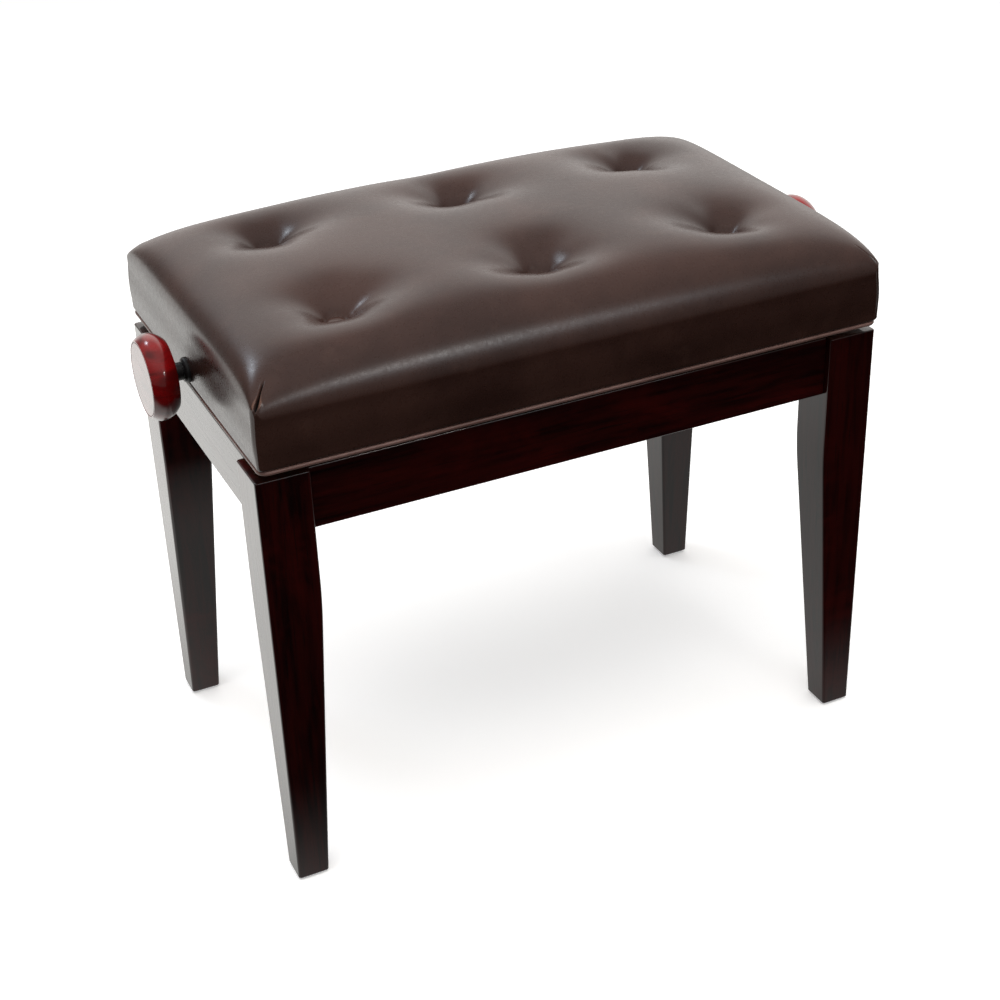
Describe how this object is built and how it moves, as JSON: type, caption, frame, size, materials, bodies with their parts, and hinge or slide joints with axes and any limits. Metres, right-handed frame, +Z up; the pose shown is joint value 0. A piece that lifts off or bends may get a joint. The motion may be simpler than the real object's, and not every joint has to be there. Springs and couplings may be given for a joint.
{
  "type": "adjustable piano bench",
  "caption": "Height-adjustable piano bench: button-tufted leather seat on a scissor lift turned by side knobs, over a gloss mahogany frame with tapered legs.",
  "frame": {"origin": "on the floor under the middle of the bench, seat at its lowest setting", "axes": "+Z up, +X along the bench to the sitter's right as seen from the front, +Y to the back"},
  "size_m": [0.6206, 0.339, 0.4888],
  "materials": {
    "mahogany": "gloss",
    "block_wood": "matte",
    "felt": "matte",
    "zinc_steel": "satin",
    "black_steel": "satin",
    "brass": "satin",
    "black_fitting": "satin",
    "knob_lacquer": "polished",
    "plywood": "matte",
    "foam": "matte",
    "leather": "satin",
    "button_leather": "satin",
    "piping_leather": "satin"
  },
  "bodies": {
    "frame": {"leg_front_left": "mahogany", "leg_front_right": "mahogany", "leg_back_right": "mahogany", "leg_back_left": "mahogany", "foot_pad_front_left": "felt", "foot_pad_front_right": "felt", "foot_pad_back_right": "felt", "foot_pad_back_left": "felt", "apron_front": "mahogany", "apron_back": "mahogany", "apron_left": "mahogany", "apron_right": "mahogany", "corner_block_front_left": "block_wood", "corner_block_front_right": "block_wood", "corner_block_back_right": "block_wood", "corner_block_back_left": "block_wood", "corner_bolt_front_left": "zinc_steel", "corner_bolt_front_right": "zinc_steel", "corner_bolt_back_right": "zinc_steel", "corner_bolt_back_left": "zinc_steel", "lower_rail_front": "black_steel", "lower_rail_back": "black_steel", "lower_end_bar_left": "black_steel", "lower_end_bar_right": "black_steel", "lower_pivot_shaft": "zinc_steel"},
    "seat": {"seat_rail_front": "plywood", "seat_rail_back": "plywood", "seat_rail_left": "plywood", "seat_rail_right": "plywood", "seat_board": "plywood", "seat_foam": "foam", "seat_cover": "leather", "seat_piping": "piping_leather", "button_front_left": "button_leather", "button_front_middle": "button_leather", "button_front_right": "button_leather", "button_back_left": "button_leather", "button_back_middle": "button_leather", "button_back_right": "button_leather", "upper_rail_front": "black_steel", "upper_rail_back": "black_steel", "upper_pivot_pin_front": "zinc_steel", "upper_pivot_pin_back": "zinc_steel", "screw_bush_left": "black_fitting", "screw_bush_right": "black_fitting"},
    "lower_arms": {"lower_arm_front": "black_steel", "lower_arm_back": "black_steel", "centre_pin_front": "zinc_steel", "centre_pin_back": "zinc_steel"},
    "nut": {"screw_nut": "brass"},
    "upper_arms": {"upper_arm_front": "black_steel", "upper_arm_back": "black_steel", "slide_bar": "zinc_steel"},
    "screw": {"lifting_screw": "zinc_steel", "ferrule_left": "black_fitting", "ferrule_right": "black_fitting", "thrust_collar_left": "zinc_steel", "thrust_collar_right": "zinc_steel", "knob_left": "knob_lacquer", "knob_right": "knob_lacquer"}
  },
  "joints": [
    {"name": "seat_lift", "type": "slide", "parent": "frame", "child": "seat", "axis": [0, 0, 1], "range_m": [0, 0.09]},
    {"name": "lower_arm_swing", "type": "hinge", "parent": "frame", "child": "lower_arms", "pos_m": [-0.18, 0, 0.352], "axis": [0, -1, 0], "range_deg": [0, 14.9]},
    {"name": "nut_swivel", "type": "hinge", "parent": "lower_arms", "child": "nut", "pos_m": [0.17577, 0, 0.407], "axis": [0, 1, 0], "range_deg": [0, 14.9]},
    {"name": "upper_arm_swing", "type": "hinge", "parent": "seat", "child": "upper_arms", "pos_m": [-0.18, 0, 0.407], "axis": [0, 1, 0], "range_deg": [0, 14.9]},
    {"name": "screw_spin", "type": "hinge", "parent": "seat", "child": "screw", "pos_m": [0, 0, 0.407], "axis": [1, 0, 0], "range_deg": [0, 3130]}
  ],
  "couplings": [
    {"joint": "lower_arm_swing", "follows": "seat_lift", "rad_per_m": 2.885},
    {"joint": "nut_swivel", "follows": "seat_lift", "rad_per_m": 2.885},
    {"joint": "upper_arm_swing", "follows": "seat_lift", "rad_per_m": 2.885},
    {"joint": "screw_spin", "follows": "seat_lift", "rad_per_m": 606}
  ]
}
